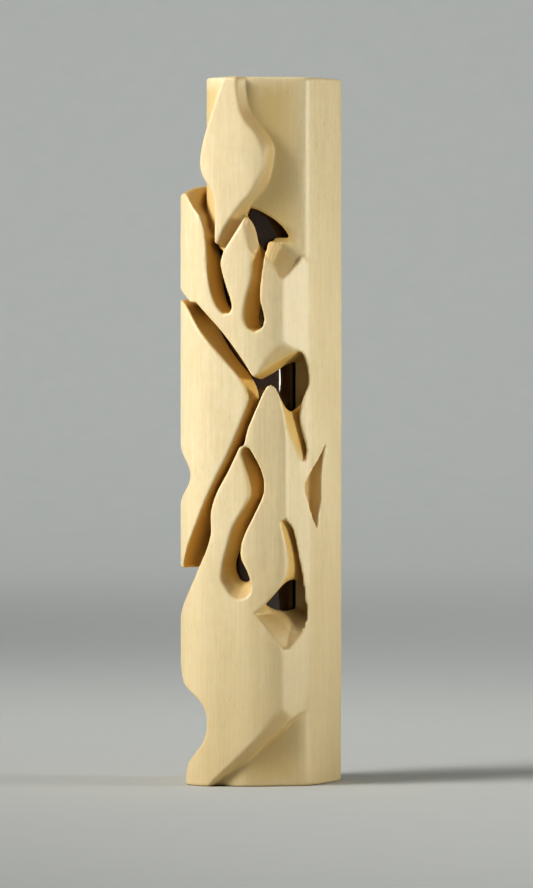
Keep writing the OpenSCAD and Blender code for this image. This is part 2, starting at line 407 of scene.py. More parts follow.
BODY_FOOT = [(-15, 102.6), (-10.6, 102.6), (-9.3, 102.4), (-8, 101.6)]
BODY_FOOT += BODY_FACE[4:16]
BODY_FOOT += [(9.5, 91.6), (10.1, 90.5), (11, 89.8), (11.8, 89.2), (15, 89), (15, 12.6), (11.2, 12.6),
              (10.8, 12.4), (9.8, 11.6), (7.9, 9.6), (5.7, 7.5), (2.9, 4.6), (1.4, 3.5), (-2, 0.6),
              (-4.8, -2)]
BODY_FOOT += BODY_FACE[31:]
LEFT_SLOT = [(-5.4, 96.5), (-4.2, 99), (-3, 98.4), (-2.7, 92), (-1.1, 90.5), (-1.6, 88.6), (-1.4, 87.3),
             (-0.5, 84.3), (0.2, 82.3), (0.4, 81), (0, 80.1), (-1.2, 80), (-2.3, 81.2), (-3.4, 83.8),
             (-4, 87.3), (-4.2, 91.5), (-4.8, 94.8)]
LEFT_SLOT_DEEP = [(-4.6, 92.2), (-4, 92.8), (-3.3, 92.6), (-2.7, 91), (-1.1, 90), (-1.6, 88.6),
                  (-1.4, 87.3), (-0.5, 84.3), (0.2, 82.3), (0.4, 81), (0, 80.3), (-0.8, 80.2), (-1.8, 81.4),
                  (-2.8, 83.8), (-3.4, 87.3), (-3.8, 90), (-4.4, 91.4)]
RIGHT_SLOT = [(2.7, 96.9), (3.1, 98.4), (5.1, 97.3), (7.2, 95.6), (8.3, 94), (8.8, 92.6), (6.6, 92.5),
              (6, 91.2), (5.9, 89), (5.5, 85.7), (5.3, 82.6), (5.7, 80.7), (6, 79), (5.7, 77.7),
              (4.5, 76.9), (3.2, 77.5), (2.5, 79), (2.8, 82.3), (3.7, 85.7), (4, 89), (4.3, 90.4),
              (5.2, 91.2), (4.9, 93.6), (4.3, 95.4)]
RIGHT_SLOT_DEEP = [(1.6, 96.6), (2.6, 98.3), (5, 97.2), (7.2, 95.6), (8.3, 94), (8.8, 92.6), (6.6, 92.5),
                   (6, 91.2), (5.9, 89), (5.6, 85.7), (5.4, 83), (5.7, 80.7), (6, 79), (5.7, 77.7),
                   (4.5, 77.4), (3.8, 78), (3.6, 79.4), (4.2, 82.3), (5.3, 85.7), (5.5, 89), (4.6, 90.4),
                   (3.6, 91.6), (3, 93.6), (2.3, 95.2)]
CROSSING = [(-15, 86), (-11, 84.2), (-9, 83), (-7.6, 81.9), (-6.3, 81.9), (-1.6, 77.2), (2.8, 71.5),
            (4, 69.5), (5.3, 67.2), (5, 65), (4, 62.4), (3.2, 60.4), (2.6, 57.8), (1.8, 57.5), (-0.2, 53.5),
            (-2.5, 49.3), (-3.4, 46.3), (-3.4, 42.9), (-4, 40.7), (-5.6, 37.3), (-7.6, 33.6), (-9.9, 30.2),
            (-11.6, 28), (-15, 25), (-15, 36.9), (-9.5, 36.9), (-9.4, 37.8), (-6.2, 44.6), (-3.4, 50.5),
            (-0.2, 56.4), (2, 61.4), (3.3, 65.3), (3.2, 66.5), (1.6, 69.4), (-0.7, 71.9), (-5.2, 76.7),
            (-9.4, 81.8), (-10.4, 82.2), (-15, 82.4)]
CROSSING_DEEP = CROSSING[:25]
CROSSING_DEEP += [(-9.3, 36.9), (-9.1, 37.8), (-5.8, 44.6), (-2.9, 50.5), (0.3, 56.4), (2.4, 61.4),
                  (3.7, 65.3), (3.7, 66.7), (2.5, 69.6), (0.4, 72.2), (-4.1, 77.3), (-8.6, 82.2),
                  (-10.4, 82.6), (-15, 82.8)]
BLADE_RIGHT = [(3.2, 70.2), (3.4, 68.4), (4.4, 66.6), (4.9, 64.6), (5.6, 66.4), (6.2, 67.6), (6.9, 68.1),
               (7.5, 67.7), (8.2, 66.1), (8.8, 63.9), (9.3, 60.6), (10, 57.2), (10.6, 55), (11.1, 55.2),
               (11.2, 57), (10.9, 59.7), (10.6, 61.8), (10.6, 63.4), (10.9, 65.6), (11.4, 68.4),
               (11.3, 70.4), (11.1, 72), (10.8, 73.4), (10.3, 73.8), (8.3, 72.4), (5.7, 70.3), (4.3, 69.3)]
BLADE_RIGHT_DEEP = [(3.2, 70.2), (3.2, 68.4), (3.6, 66), (4.1, 63.8), (4.8, 64.8), (5.4, 65.6), (5.8, 65.2),
                    (6.3, 63.8), (6.8, 61.6), (7.2, 59), (7.9, 56.8), (8.6, 55.4), (9.6, 55.4), (9.4, 58),
                    (9, 60.5), (9.1, 62.5), (9.4, 65), (9.8, 67.5), (10.1, 70), (10.2, 71.4), (10.1, 72.6),
                    (9.8, 73), (8.1, 72.2), (5.6, 70.1), (4.2, 69.2)]
LEFT_LOBE = [(2.6, 57.6), (3.5, 57.4), (5, 54.7), (5.8, 52.2), (5.8, 49.7), (4.5, 46.4), (2.5, 42.2),
             (2, 40.2), (2.1, 38.7), (3.2, 36.5), (3.9, 34.2), (3.8, 32.9), (3, 32), (1.4, 31.8),
             (0.2, 32.4), (-0.7, 33.6), (-1.4, 34.9), (-1.3, 37.1), (-0.4, 40.8), (0.7, 44.2), (2.7, 47.5),
             (3.5, 49.2), (3.5, 50.9), (3, 53.1), (2.1, 56.4)]
LEFT_LOBE_DEEP = [(2.6, 57.6), (3.5, 57.4), (5, 54.7), (5.8, 52.2), (5.8, 49.7), (4.5, 46.4), (2.5, 42.2),
                  (2, 40.2), (2.1, 38.7), (2.9, 36.5), (3, 35.2), (2.4, 34.4), (1.5, 34.3), (0.6, 34.8),
                  (0, 35.8), (-0.3, 36.6), (-0.3, 38), (0.8, 41), (2, 44.4), (3.7, 47.5), (4.5, 49.2),
                  (4.5, 50.9), (3.9, 53.3), (2.7, 56.6)]
RIGHT_LOBE = [(8.4, 45), (9, 45.3), (9.7, 43.8), (10.1, 41.3), (10.4, 38.7), (10.8, 35.3), (11.1, 32),
              (11.3, 28.8), (10.9, 26.8), (10.2, 25), (9.4, 23.5), (8.7, 23.5), (6.9, 26.3), (4.4, 29.4),
              (5.4, 30.2), (6.3, 31.2), (7.2, 32.3), (8.2, 33.7), (8.9, 35), (9.3, 36.6), (9.3, 38.8),
              (9.1, 41), (8.7, 43.4)]
RIGHT_LOBE_DEEP = [(6.9, 43.6), (8.3, 44), (8.8, 42.8), (9, 40.8), (9, 38.2), (9.2, 35), (9.4, 33),
                   (9.4, 31.2), (8.9, 30), (8, 29.6), (6.8, 29.5), (5.6, 29.9), (4.6, 30.5), (3.2, 31.2),
                   (3.2, 32.6), (4.2, 33.2), (5.2, 34), (6.2, 35.2), (6.8, 36.4), (7, 37.6), (7, 39),
                   (6.9, 41), (6.8, 42.4)]
NOTCH_TURN, NOTCH_REACH, NOTCH_DEPTH, NOTCH_MIDDLE, NOTCH_HALF = -70, 11.95, 1.8, 52.6, 5.4
SIDE_SLIT = [(3.6, 58.6), (1.2, 56.2), (-1.2, 54), (-2.7, 52.2), (-3.2, 50.8), (-2.5, 47.9), (-1.3, 45.2),
             (-0.1, 43.5), (0.3, 46), (1.2, 48.6), (1.2, 52), (2, 55.4)]
SLIT_DEPTH = 1.9


def plane(turn, reach, lift=0.0):
    """How far outside a flat cut at reach, which faces turn degrees right of the front, tipped up by lift."""
    turn, lift = math.radians(turn), math.radians(lift)
    spread = np.cos(lift) * (X2 * np.sin(turn) - Y2 * np.cos(turn))
    return over_section(spread) + over_height(np.sin(lift) * az - reach)


def swell(low_end, low_full, high_full, high_end):
    """A share up the block: 0, rising to 1 between the full heights, back to 0, eased at both ends."""
    rise = np.clip((az - low_end) / (low_full - low_end), 0, 1)
    fall = np.clip((high_end - az) / (high_end - high_full), 0, 1)
    share = np.minimum(rise, fall)
    return over_height(share * share * (3 - 2 * share))


CORNER_TURN, CORNER_REACH = 60, 11.55
WAIST_TURN, WAIST_REACH = 68, 11.39
HOLLOW_TURN, HOLLOW_REACH = 30, 8.68
BLADE_TURN, BLADE_REACH = 25, 11.15
waist = swell(32, 42, 62, 72)
corner_cut = plane(CORNER_TURN, CORNER_REACH) * (1 - waist) + plane(WAIST_TURN, WAIST_REACH) * waist
blade_cut = plane(BLADE_TURN, BLADE_REACH) - 0.6 * (1 - swell(30, 38, 66, 72))
skin = both(over_section(blank), corner_cut, 0.15)
skin = both(skin, blade_cut, 0.12)
ground = both(over_section(ground), plane(HOLLOW_TURN, HOLLOW_REACH), 0.9)


def form(face, foot=None):
    """A carved form: its outline on the face of the block, and the one at its foot if it slopes outwards."""
    top = front_outline(face)
    if foot is not None:
        top = top + (front_outline(foot) - top) * relief_share
    return both(skin, top, 0.28)


relief = either(form(LEAF_FACE, LEAF_FOOT), form(BODY_FACE, BODY_FOOT), 0.1)
# Flats pared off the forms' ends: the middle prong's tip, the right prong's top and the underside of all.
MID_TIP = [(3.2, 98), (2.7, 93.2), (3, 91.6), (4.3, 90), (6, 90.6), (6, 98)]
PRONG_TOP = [(6.8, 88.8), (8.6, 85.4), (10.9, 89.9), (9.6, 94), (8, 94)]
PRONG_TOP_LEFT = [(5.2, 94), (5.7, 89.9), (6.9, 88.6), (8, 94)]
UNDERSIDE = [(4.2, 68.8), (8.4, 76.2), (11.6, 74.8), (11.6, 67)]
PARINGS = [
    (MID_TIP, (2.9, 93), 48, 8),
    (PRONG_TOP, (8.6, 85.6), 46, 24),
    (PRONG_TOP_LEFT, (6.9, 88.8), 8, 22),
    (UNDERSIDE, (6.5, 72.8), 51, -17),
]
for spot, (x, z), turn, lift in PARINGS:
    y = BACK - DEPTH * (1 - abs(x / HALF_W) ** SECTION_POWER) ** (1 / SECTION_POWER)
    slope, tip = math.radians(turn), math.radians(lift)
    reach = math.cos(tip) * (x * math.sin(slope) - y * math.cos(slope)) + math.sin(tip) * z
    pared = both(front_outline(spot), -plane(turn, reach, lift), 0.2)
    relief = both(relief, -pared, 0.15)
block = either(ground, relief, 0.35)

SCOOP_X, SCOOP_Y, SCOOP_Z, SCOOP_R = 10.2, -9.2, 92.0, 5.2
scoop = over_section((X2 - SCOOP_X) ** 2 + (Y2 - SCOOP_Y) ** 2)
scoop = np.sqrt(scoop + (az - SCOOP_Z)[None, None, :] ** 2)
scoop = both((scoop - SCOOP_R).astype(np.float32), -form(BODY_FACE, BODY_FOOT), 0.2)
block = both(block, -scoop, 0.4)

CORE_HALF, CORE_MIDDLE, FLOOR_BACK = 8.6, 0.4, 0.8
core = d_section(CORE_HALF, DEPTH - SLOT_DEPTH, CORE_MIDDLE)
floor = either(over_section(core), over_section(np.maximum(FLOOR_BACK - Y2, -X2)), 0.4)
cuts = either(slot(LEFT_SLOT, LEFT_SLOT_DEEP, 4.5), slot(RIGHT_SLOT, RIGHT_SLOT_DEEP, 4.0), 0.1)
cuts = either(cuts, slot(CROSSING, CROSSING_DEEP, 5.0), 0.1)
cuts = either(cuts, slot(BLADE_RIGHT, BLADE_RIGHT_DEEP, 4.0, 0.3), 0.1)
cuts = either(cuts, slot(LEFT_LOBE, LEFT_LOBE_DEEP, 3.5), 0.1)
cuts = either(cuts, slot(RIGHT_LOBE, RIGHT_LOBE_DEEP, 4.5, 0.5), 0.1)
block = both(block, either(-cuts, floor, 0.5), 0.25)
notch = NOTCH_DEPTH * np.cos(np.clip((az - NOTCH_MIDDLE) / NOTCH_HALF, -1, 1) * math.pi / 2) ** 2
block = both(block, plane(NOTCH_TURN, NOTCH_REACH) + over_height(notch), 0.2)
slit = outline_distance(SIDE_SLIT, ay, az)[None, :, :].astype(np.float32)
slit = both(np.maximum(slit, -ax[:, None, None]), over_section(-blank - SLIT_DEPTH) + 0.7 * slit, 0.3)
block = both(block, -slit, 0.2)

bore = np.hypot(X2 - BORE_X, Y2 - BORE_Y) - BORE_R
bore = both(over_section(bore), over_height(BORE_FLOOR - az), 0.05)
block = both(block, -bore, 0.3)
PUSH_HOLE_R = 2.0
push_hole = over_section(np.hypot(X2 - BORE_X, Y2 - BORE_Y) - PUSH_HOLE_R)
block = both(block, -push_hole, 0.2)
THUMB_R, THUMB_H = 3.0, 3.0
thumb = over_section(np.hypot(X2 - BORE_X - BORE_R, Y2 - BORE_Y) - THUMB_R)
thumb = both(thumb, over_height(TALL - THUMB_H - az), 0.3)
block = both(block, -thumb, 0.3)
block = both(block, over_section(Y2 - BACK), 0.3)
block = both(block, over_height(np.maximum(-az, az - TALL)), 0.45)

# Recesses for the two hanger plates, with the pocket for the wall screw's head behind each.
PLATES = ("hanger_plate_top", "hanger_plate_bottom")
RECESS_GAP = 0.1
POCKET_R, POCKET_TRAVEL, POCKET_DEPTH = 3.4, 4.5, 1.8
for plate_name in PLATES:
    plate_low, plate_high, middle, half = plate_place(plate_name)
    across_x = np.abs(ax - middle[0]) - half[0] - RECESS_GAP
    across_z = np.abs(az - middle[2]) - half[2] - RECESS_GAP
    flat = np.maximum(across_x[:, None], across_z[None, :])
    recess = np.maximum(over_front(flat), (plate_low[1] - ay)[None, :, None].astype(np.float32))
    block = np.maximum(block, -recess)
    gx, gz = np.meshgrid(ax - middle[0], az - middle[2], indexing="ij")
    key = np.hypot(gx, np.maximum(np.abs(gz) - POCKET_TRAVEL / 2, 0)) - POCKET_R
    above_pocket = (plate_low[1] - POCKET_DEPTH - ay)[None, :, None].astype(np.float32)
    pocket = np.maximum(over_front(key), above_pocket)
    block = np.maximum(block, -pocket)


# Two measures on the skin for the colour, both used to paint shade into it: how deep it lies below the block,
# and how hollow it is around.
def smoothed(values, reach):
    """A field averaged over a cube of 2 reach + 1 cells, three times over."""
    for _ in range(3):
        for axis in range(3):
            widths = [(reach + 1, reach) if a == axis else (0, 0) for a in range(3)]
            running = np.cumsum(np.pad(values, widths, mode="edge"), axis=axis, dtype=np.float64)
            ahead = np.take(running, range(2 * reach + 1, running.shape[axis]), axis)
            behind = np.take(running, range(0, running.shape[axis] - 2 * reach - 1), axis)
            values = (ahead - behind) / (2 * reach + 1)
    return values


hollow = smoothed((block < 0).astype(np.float32), 4).astype(np.float32)
tight = smoothed((block < 0).astype(np.float32), 1).astype(np.float32)


def at_points(field, points):
    """A field's values at points in metres, read between its cells."""
    spots = [(points[:, k] / MM - (ax, ay, az)[k][0]) / VOXEL for k in range(3)]
    base = [np.clip(np.floor(s).astype(int), 0, field.shape[k] - 2) for k, s in enumerate(spots)]
    part = [np.clip(s - b, 0, 1) for s, b in zip(spots, base)]
    total = 0
    for i in (0, 1):
        for j in (0, 1):
            for k in (0, 1):
                share = (part[0] if i else 1 - part[0]) * (part[1] if j else 1 - part[1])
                share = share * (part[2] if k else 1 - part[2])
                total = total + share * field[base[0] + i, base[1] + j, base[2] + k]
    return total


def mesh_of_field(name, field, corner, voxel, faces_wanted):
    """The surface where a field is zero, thinned to a number of triangles, in metres."""
    grid = openvdb.FloatGrid(background=3 * voxel)
    grid.copyFromArray(np.clip(field, -3 * voxel, 3 * voxel).astype(np.float32), tolerance=0.0)
    points, quads = grid.convertToQuads(isovalue=0.0)
    points = (points * voxel + np.array(corner)) * MM
    piece = mesh_object(name, points, quads[:, ::-1])
    thin = piece.modifiers.new("thin", "DECIMATE")
    thin.ratio = min(1.0, faces_wanted / (2 * len(quads)))
    shaped = bpy.data.meshes.new_from_object(piece.evaluated_get(bpy.context.evaluated_depsgraph_get()))
    piece.modifiers.clear()
    piece.data = shaped
    shaped.name = name
    return piece


carved = mesh_of_field("carved_body", block, (ax[0], ay[0], az[0]), VOXEL, 180000)
spots = np.empty(len(carved.data.vertices) * 3, np.float32)
carved.data.vertices.foreach_get("co", spots)
spots = np.clip(spots.reshape(-1, 3), low * MM, high * MM).astype(np.float32)
carved.data.vertices.foreach_set("co", spots.ravel())
carved.data.update()
to_ends = np.minimum.reduce([BACK - spots[:, 1] / MM, spots[:, 2] / MM, TALL - spots[:, 2] / MM])
below = np.minimum(at_points(-np.broadcast_to(over_section(blank), block.shape), spots), to_ends)
under_skin = np.minimum(at_points(-np.broadcast_to(skin, block.shape), spots), to_ends)
# Painted shade on the slot walls: a share for each point, weaker on the shallow pit and ledge, that darkens
# its colour.
off_wall = np.abs(at_points(np.minimum(cuts, slit + 0.15), spots))
slot_wall_shade = np.exp(-off_wall / 0.25) * np.clip(under_skin / 0.5, 0, 1)
PIT = [(3.5, 30.6), (8.9, 30), (12.5, 30.4), (12.5, 22), (8.7, 22), (4.5, 27.5)]
LEDGE = [(-2.5, 36), (4.4, 34.6), (4.4, 30.5), (-1, 30.5)]
pit = np.broadcast_to(np.minimum(front_outline(PIT), front_outline(LEDGE)), block.shape)
slot_wall_shade *= np.clip(0.6 + at_points(pit, spots) / 1.2, 0.15, 1)
# Painted shade on the relief's sloping sides, between its face and the ground.
bevel_shade_mask = np.clip(under_skin / 0.25, 0, 1) * np.clip(at_points(ground, spots) / 0.35, 0, 1)
measures = {
    "depth_mm": below,
    "hollow": at_points(hollow, spots),
    "tight": at_points(tight, spots),
    "wall": slot_wall_shade,
    "bevel_shade": bevel_shade_mask,
}
for measure, values in measures.items():
    kept = carved.data.attributes.new(measure, "FLOAT", "POINT")
    kept.data.foreach_set("value", values.astype(np.float32))

wood = Finish("waxed_boxwood")
streaks = wood.noise(wood.place((1, 1, 0.03)), 2.2, detail=5.0, roughness=0.65)
fine = wood.noise(wood.place((1, 1, 0.02)), 7.0, detail=3.0, roughness=0.6)
cloud = wood.noise(wood.place((1, 1, 0.35)), 0.13, detail=3.0)
mottle = wood.noise(wood.place((1, 1, 0.6)), 0.9, detail=4.0, roughness=0.6)
pores = wood.band(wood.noise(wood.place((1, 1, 0.2)), 3.0, detail=1.0), 0.72, 0.79)
depth, hollowness, tightness, wall, bevel_shade = (
    wood.node("ShaderNodeAttribute", {"attribute_name": measure}, output="Fac")
    for measure in measures
)
tone = wood.band(streaks * 0.34 + fine * 0.16 + cloud * 0.3 + mottle * 0.2, 0.36, 0.64)
base = wood.mix(tone, (0.70, 0.575, 0.345, 1), (0.83, 0.72, 0.485, 1))
# The ground, deeper below the face, is painted browner: partly its own tool-cut tone, partly painted shade.
base = wood.mix(wood.band(depth, 0.6, 2.6) * 0.8, base, (0.68, 0.52, 0.245, 1))
# Painted shade: the relief's sloping sides darkened brown.
base = wood.mix(bevel_shade * (1 - wall) * 0.55, base, (0.56, 0.39, 0.16, 1))
# Painted shade: the slot walls darkened to amber.
base = wood.mix(wall * 0.85, base, (0.72, 0.49, 0.155, 1))
right, up = (
    wood.node("ShaderNodeSeparateXYZ", {}, {"Vector": wood.place()}, output=axis) for axis in (0, 2)
)
# Painted shade: deep hollows darkened to amber, much less on the right flank, where the side light reaches.
painted_shade_share = 1 - wood.band(right, 8, 10) * 0.75
painted_hollow_shade = wood.band(hollowness, 0.55, 0.80) * wood.band(depth, 0.5, 2.5) * painted_shade_share
base = wood.mix(painted_hollow_shade * 0.85, base, (0.50, 0.28, 0.065, 1))
# Painted shade: tight gaps darkened to a deep brown, less on the right flank.
base = wood.mix(wood.band(tightness, 0.62, 0.82) * painted_shade_share * 0.5, base, (0.33, 0.17, 0.045, 1))
# The foot is painted darker towards the bottom as painted shade, where the light falls off; specks are left
# high on the right flank and the open pores are darkened.
flecks = wood.band(wood.noise(wood.place((1, 1, 0.7)), 1.1, detail=3.0, roughness=0.7), 0.60, 0.72)
base = wood.mix(wood.band(up, 50, 2) * 0.5, base, (0.54, 0.41, 0.205, 1))
flecks = flecks * wood.band(right, 8.5, 11) * wood.band(up, 84, 104)
base = wood.mix(flecks * 0.35, base, (0.50, 0.33, 0.13, 1))
base = wood.mix(pores * 0.2, base, (0.40, 0.25, 0.10, 1))
carved.data.materials.append(
    wood.done(
        Base_Color=base,
        Roughness=wood.band(streaks * 0.6 + mottle * 0.4, 0.3, 0.7, 0.34, 0.50),
        Normal=wood.bump(streaks * 0.4 + fine * 0.3 + mottle * 0.6 - pores * 0.6, 0.00007, 0.45),
        Specular_IOR_Level=0.5,
        Subsurface_Weight=0.15,
        Subsurface_Radius=(0.0022, 0.0011, 0.0004),
        Subsurface_Scale=1.0,
    )
)
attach(carved, "case")
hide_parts("carved_case")


# ---------------------------------------------------------------- Seat pad
# A washer of dark felt, punched from sheet and dropped to the bore's floor, where the tube lands on it.
def place_of(node):
    """The axis and the two ends of a CAD piece that stands upright, and its outer radius, in mm."""
    first, last = box_mm(node)
    return (first[:2] + last[:2]) / 2, first[2], last[2], (last[0] - first[0]) / 2


def on_turn(middle, r, turn, z):
    """A point r from an upright axis, turn round it and at height z, in metres."""
    return (middle[0] + r * math.cos(turn)) * MM, (middle[1] + r * math.sin(turn)) * MM, z * MM


def eased(points, radius):
    """A closed outline with each corner rounded off, apart from those on the axis."""
    line = []
    for before, here, after in zip(points[-1:] + points[:-1], points, points[1:] + points[:1]):
        before, here, after = (np.array(p, float) for p in (before, here, after))
        if here[0] < 0.001:
            line.append(tuple(here))
            continue
        first = here + (before - here) * min(0.45, radius / np.hypot(*(before - here)))
        last = here + (after - here) * min(0.45, radius / np.hypot(*(after - here)))
        for t in (0, 0.25, 0.5, 0.75, 1):
            line.append(tuple((1 - t) ** 2 * first + 2 * t * (1 - t) * here + t * t * last))
    return line


def welded(piece):
    """Joins doubled corners and faces every side outwards."""
    shell = bmesh.new()
    shell.from_mesh(piece.data)
    bmesh.ops.remove_doubles(shell, verts=shell.verts, dist=1e-7)
    bmesh.ops.dissolve_degenerate(shell, edges=shell.edges, dist=1e-7)
    bmesh.ops.recalc_face_normals(shell, faces=shell.faces)
    shell.to_mesh(piece.data)
    shell.free()
    return piece


def turned(name, outline, middle, ease, around=96, uneven=None):
    """A turned piece: a closed outline of radius and height with its corners eased, swept round its axis."""
    line = eased(outline, ease)
    rows = []
    for step in range(around):
        turn = 2 * math.pi * step / around
        for r, z in line:
            if uneven is not None:
                r, z = uneven(r, z, turn)
            rows.append(on_turn(middle, r, turn, z))
    n = len(line)
    faces = []
    for step in range(around):
        after = (step + 1) % around
        for i in range(n):
            j = (i + 1) % n
            faces.append((step * n + i, after * n + i, after * n + j, step * n + j))
    return welded(mesh_object(name, rows, faces))


pad_middle, pad_low, pad_high, pad_r = place_of("seat_pad")


def punched(r, z, turn):
    """The punched edge is a little fuzzy, and the felt's upper face dips where it is thin."""
    wave = math.sin(5 * turn) + 0.6 * math.sin(11 * turn + 1)
    z -= 0.02 * (z > pad_low + 0.5)
    if r > 4:
        return r - 0.03 * (1 + 0.5 * wave), z
    return r + 0.02 * (1 + 0.5 * wave), z


pad = turned(
    "felt_pad",
    [(PUSH_HOLE_R, pad_low), (pad_r, pad_low), (pad_r, pad_high), (PUSH_HOLE_R, pad_high)],
    pad_middle,
    0.25,
    uneven=punched,
)
felt = Finish("dark_felt")
lint = felt.noise(felt.place((1, 1, 2)), 4.0, detail=6.0, roughness=0.75, distortion=1.2)
lumps = felt.noise(felt.place(), 0.7, detail=3.0)
fluff = felt.band(lint * 0.7 + lumps * 0.3, 0.35, 0.65)
pad.data.materials.append(
    felt.done(
        Base_Color=felt.mix(fluff, (0.05, 0.032, 0.02, 1), (0.13, 0.085, 0.05, 1)),
        Roughness=felt.band(lint, 0.3, 0.7, 0.85, 0.98),
        Normal=felt.bump(lint, 0.00025, 0.9),
        Sheen_Weight=0.4,
    )
)
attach(pad, "case")
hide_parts("seat_pad")


# ---------------------------------------------------------------- Inner tube
# A tube of dark brown glass, drawn to size, closed at its lower end and fire-polished at its lip. It drops
# into the bore, rests on the felt and holds the scroll; its glossy wall shows through the slots.
TUBE_WALL, TUBE_FLOOR = 0.8, 1.2
tube_middle, tube_low, tube_high, tube_r = place_of("inner_tube")
tube = turned(
    "glass_tube",
    [
        (0, tube_low),
        (tube_r, tube_low),
        (tube_r, tube_high),
        (tube_r - TUBE_WALL, tube_high),
        (tube_r - TUBE_WALL, tube_low + TUBE_FLOOR),
        (0, tube_low + TUBE_FLOOR),
    ],
    tube_middle,
    0.38,
    around=128,
)
dark_glass = Finish("dark_glass")
smear = dark_glass.noise(dark_glass.place((1, 1, 0.3)), 0.35, detail=3.0)
drawn = dark_glass.noise(dark_glass.place((1, 1, 0.01)), 1.2, detail=2.0)
dust = dark_glass.band(dark_glass.noise(dark_glass.place(), 6.0, detail=2.0), 0.66, 0.74)
tube.data.materials.append(
    dark_glass.done(
        Base_Color=dark_glass.mix(
            dust * 0.4,
            dark_glass.mix(smear, (0.050, 0.024, 0.010, 1), (0.082, 0.044, 0.022, 1)),
            (0.22, 0.18, 0.14, 1),
        ),
        Roughness=dark_glass.band(smear, 0.3, 0.7, 0.08, 0.16) + dust * 0.2,
        Normal=dark_glass.bump(drawn, 0.00002, 0.25),
        Coat_Weight=1.0,
        Coat_Roughness=0.05,
        IOR=1.6,
    )
)
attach(tube, "tube")
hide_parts("inner_tube")


# ---------------------------------------------------------------- Scroll
# A sheet of parchment rolled into four loose turns, its upper and lower edges cut by hand.
SHEET, TURNS, PITCH = 0.35, 4, 0.65
roll_middle, roll_low, roll_high, roll_r = place_of("scroll")
count = 36 * TURNS
roll_rows, roll_faces = [], []
levels = [0, 0.06, 0.15] + [0.2 + 0.6 * k / 14 for k in range(15)] + [0.85, 0.94, 1]
for place, level in enumerate(levels):
    inset = 0.06 if level in (0, 1) else 0.0
    for step in range(count + 1):
        turn = 2 * math.pi * TURNS * step / count
        outside = roll_r - PITCH * turn / (2 * math.pi)
        hand = 0.12 * math.sin(1.7 * turn) + 0.07 * math.sin(4.1 * turn + 2)
        trim = 0.2 * (level == 1) * (hand - 0.19) - 0.2 * (level == 0) * (hand - 0.19)
        z = roll_low + (roll_high - roll_low) * level + trim
        for r in (outside - inset, outside - SHEET + inset):
            roll_rows.append(on_turn(roll_middle, r, turn, z))
ring = 2 * (count + 1)
for place in range(len(levels) - 1):
    for step in range(count):
        a = place * ring + 2 * step
        roll_faces.append((a, a + 2, a + 2 + ring, a + ring))
        roll_faces.append((a + 1, a + 1 + ring, a + 3 + ring, a + 3))
    for end in (0, 2 * count):
        a = place * ring + end
        roll_faces.append((a, a + 1, a + 1 + ring, a + ring))
for base_row in (0, (len(levels) - 1) * ring):
    for step in range(count):
        a = base_row + 2 * step
        roll_faces.append((a, a + 1, a + 3, a + 2))
roll = welded(mesh_object("parchment_roll", roll_rows, roll_faces))
parchment = Finish("parchment")
skin_cloud = parchment.noise(parchment.place(), 0.25, detail=5.0, roughness=0.6)
follicles = parchment.band(parchment.noise(parchment.place(), 3.5, detail=2.0), 0.62, 0.74)
roll.data.materials.append(
    parchment.done(
        Base_Color=parchment.mix(
            follicles * 0.25,
            parchment.mix(skin_cloud, (0.66, 0.53, 0.33, 1), (0.80, 0.70, 0.50, 1)),
            (0.45, 0.31, 0.16, 1),
        ),
        Roughness=parchment.band(skin_cloud, 0.3, 0.7, 0.48, 0.68),
        Normal=parchment.bump(skin_cloud * 0.7 + follicles * 0.3, 0.0001, 0.5),
        Subsurface_Weight=0.1,
        Subsurface_Radius=(0.001, 0.0007, 0.0004),
    )
)
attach(roll, "scroll")
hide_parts("scroll")


# ---------------------------------------------------------------- Scroll wrap
# A band of thin paper wound once round the parchment, with a few creases where it was pressed.
WRAP_T = 0.25
wrap_middle, wrap_low, wrap_high, wrap_r = place_of("scroll_wrap")
wrap_levels = [wrap_low + (wrap_high - wrap_low) * k / 40 for k in range(41)]


def pressed(r, z, turn):
    """The paper's edge wavers and its face is pushed in a hair along slanting creases."""
    crease = max(0.0, math.sin(3 * turn + 0.25 * z) - 0.8) * 0.2
    waver = 0.1 * (1 + math.sin(2 * turn))
    edge = waver * (z > wrap_high - 0.3) - waver * (z < wrap_low + 0.3)
    return r - crease * (r > wrap_r - 0.1), z - edge


wrap_outline = [(wrap_r, z) for z in wrap_levels] + [(wrap_r - WRAP_T, z) for z in wrap_levels[::-1]]
wrap = turned("paper_wrap", wrap_outline, wrap_middle, 0.05, uneven=pressed)
paper_wrap = Finish("wrap_paper")
fibres = paper_wrap.noise(paper_wrap.place((1, 1, 0.6)), 2.4, detail=6.0, roughness=0.7, distortion=0.8)
stain = paper_wrap.noise(paper_wrap.place(), 0.12, detail=3.0)
pulp = paper_wrap.band(fibres * 0.5 + stain * 0.5, 0.35, 0.65)
wrap.data.materials.append(
    paper_wrap.done(
        Base_Color=paper_wrap.mix(pulp, (0.74, 0.68, 0.54, 1), (0.88, 0.84, 0.73, 1)),
        Roughness=paper_wrap.band(fibres, 0.3, 0.7, 0.72, 0.88),
        Normal=paper_wrap.bump(fibres, 0.00008, 0.6),
    )
)
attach(wrap, "scroll")
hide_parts("scroll_wrap")


